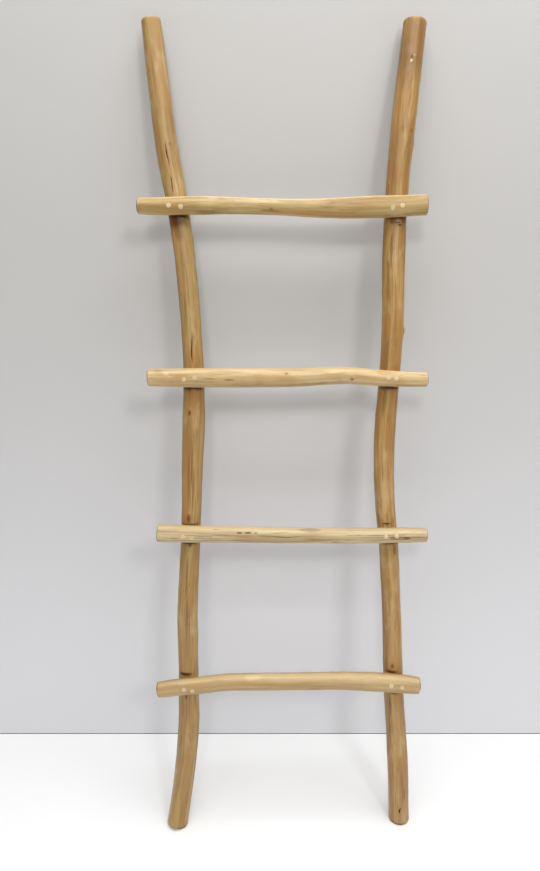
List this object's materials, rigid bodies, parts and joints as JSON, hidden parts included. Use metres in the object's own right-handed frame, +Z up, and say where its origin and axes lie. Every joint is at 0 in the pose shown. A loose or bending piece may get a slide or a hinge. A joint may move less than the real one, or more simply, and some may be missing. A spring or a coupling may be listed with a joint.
{
  "type": "leaning blanket ladder",
  "caption": "Leaning ladder of crooked peeled branches, with rungs let into the rails, for hanging quilts, blankets and towels.",
  "frame": {"origin": "on the floor, under the middle of the ladder's bounding box", "axes": "+Z up, +X to the right of someone facing the rungs, +Y towards the wall that the top leans back to"},
  "size_m": [0.518, 0.2676, 1.4848],
  "materials": {
    "rail_wood": "peeled and sanded branch, honey tan, with darker knots and stains",
    "rung_wood": "peeled and sanded branch, pale straw, with fine grain and small knots",
    "plug_wood": "pale glued plug, sanded flush",
    "screw_steel": "zinc plated"
  },
  "bodies": {
    "root": {"left_rail": "rail_wood", "right_rail": "rail_wood", "rung_1": "rung_wood", "rung_2": "rung_wood", "rung_3": "rung_wood", "rung_4": "rung_wood", "screw_1_left_a": "screw_steel", "plug_1_left_a": "plug_wood", "screw_1_left_b": "screw_steel", "plug_1_left_b": "plug_wood", "screw_1_right_a": "screw_steel", "plug_1_right_a": "plug_wood", "screw_1_right_b": "screw_steel", "plug_1_right_b": "plug_wood", "screw_2_left_a": "screw_steel", "plug_2_left_a": "plug_wood", "screw_2_left_b": "screw_steel", "plug_2_left_b": "plug_wood", "screw_2_right_a": "screw_steel", "plug_2_right_a": "plug_wood", "screw_2_right_b": "screw_steel", "plug_2_right_b": "plug_wood", "screw_3_left_a": "screw_steel", "plug_3_left_a": "plug_wood", "screw_3_left_b": "screw_steel", "plug_3_left_b": "plug_wood", "screw_3_right_a": "screw_steel", "plug_3_right_a": "plug_wood", "screw_3_right_b": "screw_steel", "plug_3_right_b": "plug_wood", "screw_4_left_a": "screw_steel", "plug_4_left_a": "plug_wood", "screw_4_left_b": "screw_steel", "plug_4_left_b": "plug_wood", "screw_4_right_a": "screw_steel", "plug_4_right_a": "plug_wood", "screw_4_right_b": "screw_steel", "plug_4_right_b": "plug_wood"}
  },
  "joints": []
}
